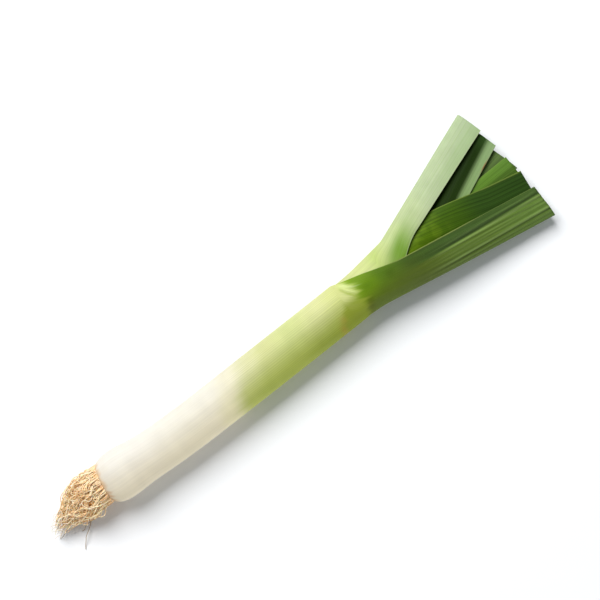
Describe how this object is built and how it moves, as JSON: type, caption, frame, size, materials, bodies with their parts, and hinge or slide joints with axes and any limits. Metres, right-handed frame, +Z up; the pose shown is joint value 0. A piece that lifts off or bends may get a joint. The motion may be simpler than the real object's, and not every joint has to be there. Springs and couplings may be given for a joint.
{
  "type": "leek",
  "caption": "Fresh leek with its roots on: a nearly straight white shaft from a root plate, opening into a flat fan of folded leaves, cut straight across.",
  "frame": {"origin": "on the flat strip that the shaft lies on, under the shaft's axis, 120 mm from its root end", "axes": "+X along the shaft from the roots to the leaves; +Z up, away from the surface; +Y to the left, looking from the roots"},
  "size_m": [0.4755, 0.112, 0.0395],
  "materials": {
    "shaft": "satin",
    "pale_leaf": "satin",
    "dark_leaf": "satin",
    "green_leaf": "satin",
    "roots": "matte"
  },
  "bodies": {
    "root": {"shaft_with_outer_leaf": "shaft", "leaf_2": "pale_leaf", "leaf_3": "dark_leaf", "leaf_4": "pale_leaf", "leaf_5": "green_leaf", "leaf_6": "green_leaf", "root_plate_with_roots": "roots"}
  },
  "joints": []
}
